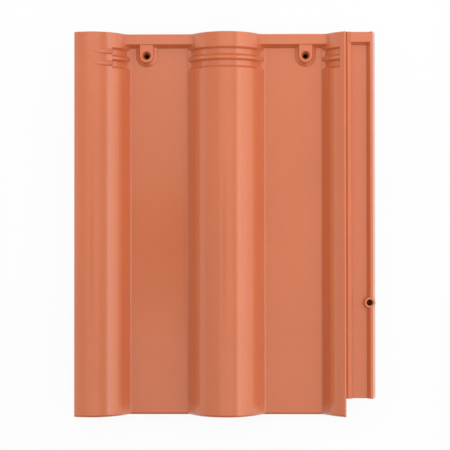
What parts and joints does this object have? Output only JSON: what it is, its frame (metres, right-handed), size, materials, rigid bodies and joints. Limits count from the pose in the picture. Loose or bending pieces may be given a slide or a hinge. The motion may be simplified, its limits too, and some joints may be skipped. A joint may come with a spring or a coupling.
{
  "type": "interlocking concrete roof tile",
  "caption": "Long interlocking roof tile with flat pans between raised rolls, a ribbed side channel, weather grooves and nail holes near its head, and nibs below.",
  "frame": {"origin": "on the floor below the middle of the tile, which rests on its nibs and tail bar", "axes": "+X across the tile towards its side channel, +Y up the slope to the head, +Z out of the roof's weather side"},
  "size_m": [0.332, 0.424, 0.05],
  "materials": {
    "coated_concrete": "terracotta coloured coat with a satin sheen over fine concrete"
  },
  "bodies": {
    "root": {"tile": "coated_concrete"}
  },
  "joints": []
}
